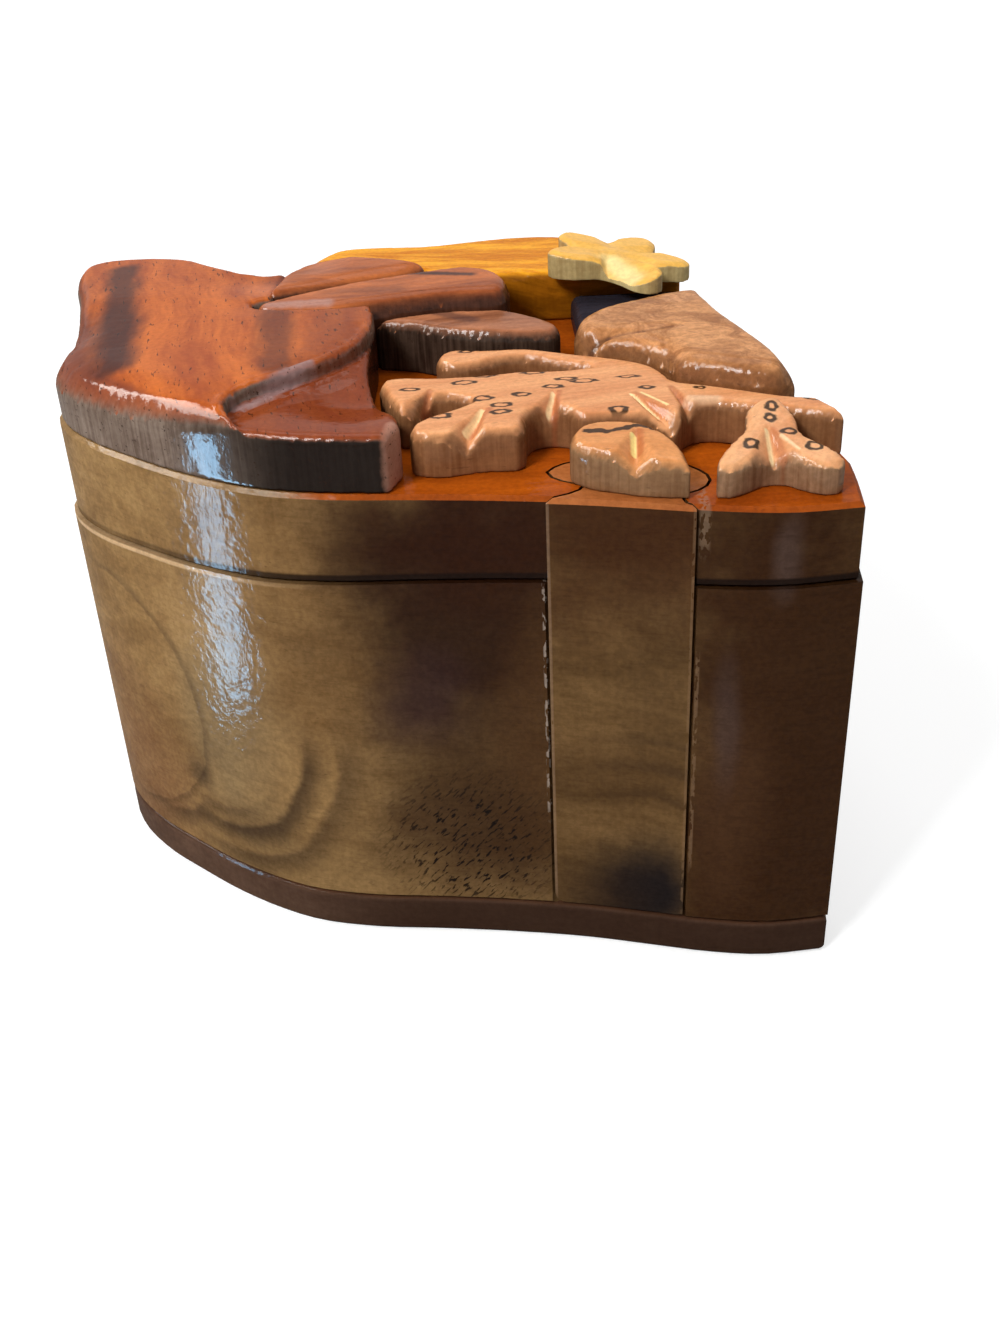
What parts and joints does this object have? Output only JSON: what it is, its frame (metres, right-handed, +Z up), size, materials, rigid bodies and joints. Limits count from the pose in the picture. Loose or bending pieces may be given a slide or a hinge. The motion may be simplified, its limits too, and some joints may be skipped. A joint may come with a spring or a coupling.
{
  "type": "puzzle box",
  "caption": "Scroll-sawn wooden puzzle box with a carved relief on its lid and a full-height sliding key with a jigsaw knob that locks lid and box together.",
  "frame": {"origin": "middle of the footprint, on the surface that the box stands on", "axes": "+X to the right as seen from the front, the long way; +Y from the front, where the key is, to the back; +Z up"},
  "size_m": [0.1004, 0.0886, 0.073],
  "materials": {
    "base_wood": "clear gloss lacquer",
    "box_wood": "clear gloss lacquer",
    "dowel_wood": "bare",
    "lid_wood": "clear gloss lacquer",
    "key_wood": "clear gloss lacquer",
    "animal_wood": "clear gloss lacquer",
    "snout_wood": "clear gloss lacquer",
    "fin_wood": "clear gloss lacquer",
    "coral_wood": "clear gloss lacquer",
    "rock_wood": "clear gloss lacquer",
    "golden_wood": "clear gloss lacquer",
    "inset_wood": "clear gloss lacquer",
    "starfish_wood": "clear gloss lacquer"
  },
  "bodies": {
    "box": {"base_plate": "base_wood", "box_body": "box_wood", "pivot_dowel": "dowel_wood"},
    "lid": {"lid_plate": "lid_wood", "animal_body": "animal_wood", "snout_lower": "snout_wood", "snout_upper": "snout_wood", "side_fin": "fin_wood", "coral_main": "coral_wood", "coral_fork": "coral_wood", "rock": "rock_wood", "golden_panel": "golden_wood", "dark_inset": "inset_wood", "starfish": "starfish_wood"},
    "key": {"lock_key": "key_wood", "key_carving": "coral_wood"}
  },
  "joints": [
    {"name": "lid_lift", "type": "slide", "parent": "box", "child": "lid", "axis": [0, 0, 1], "range_m": [0, 0.06]},
    {"name": "key_slide", "type": "slide", "parent": "lid", "child": "key", "axis": [0, 0, 1], "range_m": [0, 0.06]}
  ]
}
